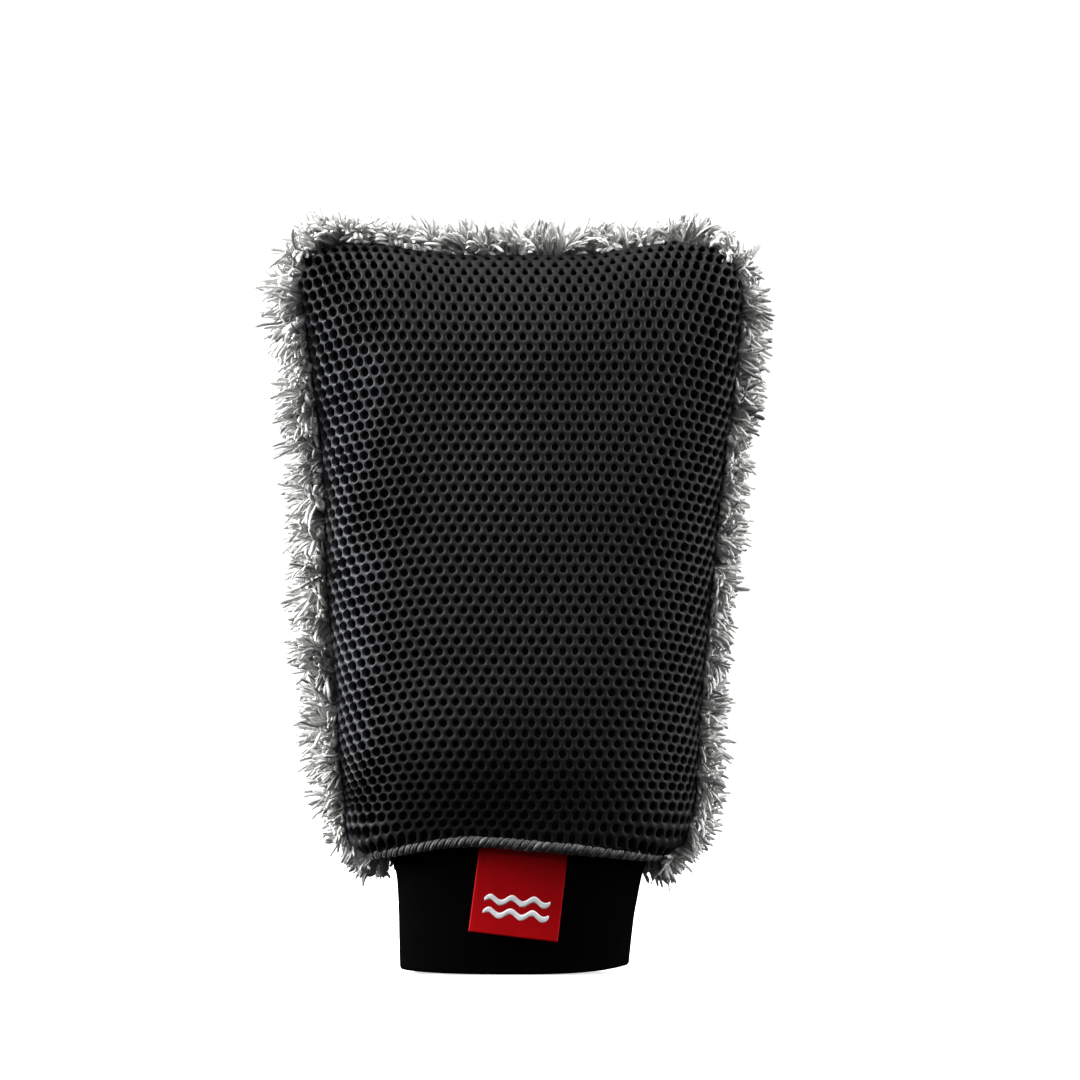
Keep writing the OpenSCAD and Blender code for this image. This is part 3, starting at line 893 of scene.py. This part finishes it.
def strands(name, s, w, clumps, sides, segs, width, reach, pieces):
    """Curved tapered strands rooted at (s, w), gathered into the clumps, built as several meshes."""
    n = len(s)
    k = nearest(clumps["s"], clumps["w"], s, w)
    path, across, u, crown = strand_paths(s, w, clumps, k, segs, reach)
    tangent = unit(np.gradient(path, axis=1))
    b = unit(across[:, None] - (across[:, None] * tangent).sum(-1, keepdims=True) * tangent)
    c = np.cross(tangent, b)
    profile = np.interp(u[0], [0, 0.2, 0.6, 0.86, 0.96, 1], [0.75, 0.95, 1.05, 1.15, 1.0, 0.2])
    r = width * rng.uniform(0.7, 1.3, n)
    ang = (2 * np.pi * np.arange(sides) / sides)[None, None, :, None]
    ring = np.cos(ang) * b[:, :, None] + 0.7 * np.sin(ang) * c[:, :, None]
    lump = 1 + rng.uniform(-0.22, 0.22, (n, segs + 1, sides))
    pts = path[:, :, None] + ((r[:, None] * profile)[:, :, None] * lump)[..., None] * ring

    # one strand in five is dark. Each is darker towards its root and lighter at its tip, painted shade and
    # light along it, and the strands along the top edge are lighter, painted light
    tone = clumps["shade"][k] + rng.normal(0, 0.1, n) + 0.16 * crown
    tone = np.where(rng.random(n) < 0.2, tone - 0.34, tone)
    shade = (tone[:, None] * np.interp(u, [0, 0.25, 0.6, 1], [0.55, 0.85, 1.0, 1.1]))[:, :, None]
    shade = shade + rng.uniform(-0.16, 0.16, (n, 1, sides))
    shade = np.clip(shade + rng.uniform(-0.08, 0.08, (n, segs + 1, sides)), 0, 1)

    one = grid_faces(segs + 1, sides, wrap_columns=True)
    row, column = grid_corners(segs, sides)
    uv_one = np.stack([column / sides, row / segs], -1).reshape(1, -1, 2) * 0.84 + 0.08
    made = []
    for part, chosen in enumerate(np.array_split(np.argsort(s, kind="stable"), pieces)):
        number = np.arange(len(chosen))
        faces = (one[None] + (number * (segs + 1) * sides)[:, None, None]).reshape(-1, 4)
        g = math.ceil(math.sqrt(len(chosen)))
        cell = np.stack([number % g, number // g], -1)
        uv = ((cell[:, None] + uv_one) / g).reshape(-1, 2)
        made.append(make_mesh(f"{name}_{part + 1}", pts[chosen].reshape(-1, 3), faces, PILE, uv=uv,
                              attributes={"shade": shade[chosen].ravel()}))
    return made


BORDER, UNDER_BORDER = 14, 7


def pile():
    """Thin close strands round the edges, thicker ones over the palm, and two fillings under the edge."""
    surf = PALM_SIDE
    clumps = clump_field(surf)

    def from_edge(s, w):
        return np.minimum(surf.half_at(w) - np.abs(s), surf.height - w)

    def border(s, w):
        return np.minimum(from_edge(s, w), w * 1.3) < BORDER

    s, w = jittered(surf, 1.04, border)
    inner_s, inner_w = jittered(surf, 1.9, lambda s, w: ~border(s, w))
    made = strands("pile_fringe", s, w, clumps, sides=5, segs=8, width=0.6, reach=16.6, pieces=6)
    made += strands("pile_palm", inner_s, inner_w, clumps, sides=5, segs=6, width=0.74, reach=16.8, pieces=4)
    s, w = jittered(surf, 1.5, lambda s, w: from_edge(s, w) < UNDER_BORDER)
    made += strands("pile_under", s, w, clumps, sides=5, segs=6, width=0.66, reach=11, pieces=1)
    ok = border(clumps["s"], clumps["w"])
    s, w = clumps["s"][ok], clumps["w"][ok]
    made += strands("pile_core", s, w, clumps, sides=7, segs=6, width=1.7, reach=12.5, pieces=1)
    return made


# ---- cuff and label ---------------------------------------------------------------------------------
PLY, PLY_GAP = 1.1, 0.4
# (height, half width) on each side of the sleeve
CUFF_LEFT = [(-2, 43.0), (0, 43.1), (20, 43.6), (35, 44.3), (40, 45.2), (44, 47.5), (48, 49), (60, 49)]
CUFF_RIGHT = [(-2, 41.3), (0, 41.5), (5, 41.8), (21, 43.5), (33, 45.6), (38, 47.0), (42, 49), (48, 49.6),
              (60, 49.6)]


def cuff_width(z, c):
    """Half the sleeve's width at z, on the right where c is above 0 and on the left elsewhere."""
    return np.where(c > 0, soft(CUFF_RIGHT, z, 3), soft(CUFF_LEFT, z, 3))


def cuff_depth(z):
    return 21 + ramp(0, 44, z)


def cuff_point(t, f, off):
    """A point of the sleeve: t degrees round, f from the hem (0) to the top (1), off in from its outside."""
    c, s = rounded(np.cos(np.radians(t))), rounded(np.sin(np.radians(t)))
    ztop = 47.5 + 7.5 * (1 + s) / 2
    zhem = np.where(c > 0, 2.6, 1.0) * np.abs(c) ** 3
    z = zhem + f * (ztop - zhem)
    crease = 0.35 * np.sin(np.radians(t) * 5 + z * 0.08) * ramp(12, 40, z) * (1 - ramp(44, 50, z))
    return np.stack([(cuff_width(z, c) - off + crease) * c, (cuff_depth(z) - off + crease) * s, z], -1)


def cuff():
    """One tube of cloth folded at the hem: down the outer ply, round the fold, up inside, back between."""
    full = 2 * PLY + PLY_GAP
    fall = np.concatenate([np.linspace(1, 0.09, 26), [0.06, 0.035]])
    fold = np.linspace(0.25, math.pi - 0.25, 7)
    profile = [(0.0, f) for f in fall]
    profile += [(full * (1 - math.cos(a)) / 2, 0.03 - 0.03 * math.sin(a)) for a in fold]
    profile += [(full, f) for f in fall[::-1]]
    profile += [(full - PLY, f) for f in (1, 0.7, 0.34, 0.06)]
    profile += [(PLY, f) for f in (0.06, 0.34, 0.7, 1)]
    profile = np.array(profile)
    n, k = 150, len(profile)
    t = 360 * np.arange(n) / n
    pts = cuff_point(t[:, None], profile[None, :, 1], profile[None, :, 0])
    faces = grid_faces(n, k, wrap_rows=True, wrap_columns=True)
    row, column = grid_corners(n, k)
    uv = np.stack([row / n, column / k], -1).reshape(-1, 2) * 0.98 + 0.01
    return make_mesh("cuff_sleeve", pts.reshape(-1, 3), faces, KNIT, uv=uv)


LABEL_X, LABEL_Z, LABEL_W, LABEL_L, LABEL_LEAN = 2.8, 46.8, 33.0, 33.0, math.radians(7.0)


def label_point(u, w, off):
    """u across from -1 to 1, w down from the sewn edge (0) to the free one (1)."""
    a = LABEL_X + u * LABEL_W / 2 * math.cos(LABEL_LEAN) - w * LABEL_L * math.sin(LABEL_LEAN)
    z = LABEL_Z - w * LABEL_L * math.cos(LABEL_LEAN) - u * LABEL_W / 2 * math.sin(LABEL_LEAN) * w
    y0 = cuff_depth(z) * (1 - (np.abs(a) / cuff_width(z, a)) ** ROUND) ** (1 / ROUND)
    lift = 1.2 + 0.4 * (1 - w) + 1.5 * w ** 3 + 0.5 * np.sin(u * 2.2 + 0.6) * w * (1 - w)
    lift = lift + 0.7 * (u < 0) * u ** 2 * w
    return np.stack([a, -(y0 + lift) - off, z], -1)


LABEL_THICK = 0.55
MARK_HALF, MARK_PITCH, MARK_FROM = 0.033, 0.15, 0.60
MARK_PROUD = (0.57, 0.61, 0.62, 0.61, 0.57)


def label():
    u, w = np.meshgrid(np.linspace(-1, 1, 61), np.linspace(1, 0, 61))
    tab = slab("label_tab", label_point(u, w, LABEL_THICK), label_point(u, w, 0.0), LABEL_RED)
    # a plain mark of two waves, woven in white
    marks = []
    for row in (0, 1):
        along = np.linspace(-0.74, 0.74, 110)
        mid = MARK_FROM + row * MARK_PITCH + 0.03 * np.sin(along * 12.8)
        half = MARK_HALF * np.sqrt(np.clip(1 - (np.abs(along) / 0.75) ** 14, 0, 1))
        down = np.stack([mid + half * k for k in (1, 0.5, 0, -0.5, -1)])
        across = np.broadcast_to(along, down.shape)
        proud = np.array(MARK_PROUD)[:, None] * np.ones_like(down)
        outer, inner = label_point(across, down, proud), label_point(across, down, 0.5)
        marks.append(slab(f"label_mark_{row + 1}", outer, inner, MARK))
    return tab, marks


# ---- build everything ---------------------------------------------------------------------------------
sheet = face_sheet()
underlay = plain_cloth("underlay", BACK_SIDE, 0.9, UNDERLAY)
backing = plain_cloth("pile_backing", PALM_SIDE, 1.2, BACKING)
tufts = pile()
seam = perimeter_seam()
overlock = mouth_overlock()
sleeve = cuff()
tab, marks = label()

for ob, node, slot in ((sheet, "back_mesh", "face_sheet"), (underlay, "back_underlay", "underlay_knit"),
                       (backing, "palm_backing", "backing_cloth"),
                       (seam, "perimeter_seam", "seam_thread"),
                       (overlock, "mouth_overlock", "overlock_thread")):
    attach(ob, "pocket")
    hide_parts(node)
for k, ob in enumerate(tufts):
    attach(ob, "pocket")
    if k == 0:
        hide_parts("palm_pile")
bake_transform(sleeve)
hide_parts("cuff")
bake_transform(tab)
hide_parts("label")
for ob in marks:
    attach(ob, "tab")

# ---- stage and light --------------------------------------------------------------------------------
STAGE_DROP, STAGE_SIDES = 0.3, 72


def stage():
    """A round white floor that curves up into a wall, with the camera inside it."""
    m = Mat("stage_white", (0.93, 0.93, 0.93), 0.9, Specular_IOR_Level=0.0, Emission_Color=(1, 1, 1, 1),
            Emission_Strength=0.72)
    floor = [(300, 0), (1500, 0), (4300, 0)]
    bend = [(4300 + 900 * math.sin(a), 900 - 900 * math.cos(a)) for a in np.linspace(0.15, math.pi / 2, 10)]
    profile = floor + bend + [(5200, 7000)]
    turn = np.linspace(0, 2 * math.pi, STAGE_SIDES, endpoint=False)
    pts = [[r * math.cos(a), r * math.sin(a), z - STAGE_DROP] for r, z in profile for a in turn]
    pts = np.array(pts + [[0, 0, -STAGE_DROP]])
    rim = np.arange(STAGE_SIDES)
    middle = np.stack([(rim + 1) % STAGE_SIDES, rim, np.full(STAGE_SIDES, len(pts) - 1)], -1)
    sweep = grid_faces(len(profile), STAGE_SIDES, wrap_columns=True)
    ob = make_mesh("studio_sweep", pts, [sweep, middle], m.m)
    ob.visible_diffuse = ob.visible_glossy = False


LIGHT_AIM = (0, 0, 0.14)


def area_light(name, place, size, energy, aim=LIGHT_AIM):
    data = bpy.data.lights.new(name, "AREA")
    data.shape, data.size, data.size_y = "RECTANGLE", size[0], size[1]
    data.energy = energy
    ob = bpy.data.objects.new(name, data)
    bpy.context.collection.objects.link(ob)
    ob.location = place
    ob.rotation_euler = (Vector(aim) - Vector(place)).to_track_quat("-Z", "Y").to_euler()


def world_light(low, high):
    """White light all round, low from the floor and high from above."""
    world = bpy.data.worlds.new("world")
    bpy.context.scene.world = world
    world.use_nodes = True
    nodes, links = world.node_tree.nodes, world.node_tree.links
    place = nodes.new("ShaderNodeTexCoord")
    split = nodes.new("ShaderNodeSeparateXYZ")
    strength = nodes.new("ShaderNodeMapRange")
    strength.inputs["From Min"].default_value, strength.inputs["From Max"].default_value = -0.35, 0.55
    strength.inputs["To Min"].default_value, strength.inputs["To Max"].default_value = low, high
    links.new(place.outputs["Generated"], split.inputs[0])
    links.new(split.outputs["Z"], strength.inputs["Value"])
    links.new(strength.outputs["Result"], nodes["Background"].inputs["Strength"])
    nodes["Background"].inputs["Color"].default_value = (1, 1, 1, 1)


stage()
area_light("key_left", (-1.3, -0.25, 0.75), (0.45, 1.0), 64)
area_light("key_right", (1.3, -0.1, 0.7), (0.45, 1.0), 35)
area_light("top", (0.0, -0.1, 1.6), (1.2, 0.7), 17, aim=(0, 0, 0.15))
area_light("back_left", (-1.3, 1.4, 0.7), (0.6, 1.0), 20)
area_light("back_right", (1.3, 1.4, 0.7), (0.6, 1.0), 26)
area_light("front_left", (-0.9, -2.4, 1.3), (0.4, 0.4), 5)
world_light(0.05, 0.36)
bpy.context.scene.view_settings.view_transform = "Standard"
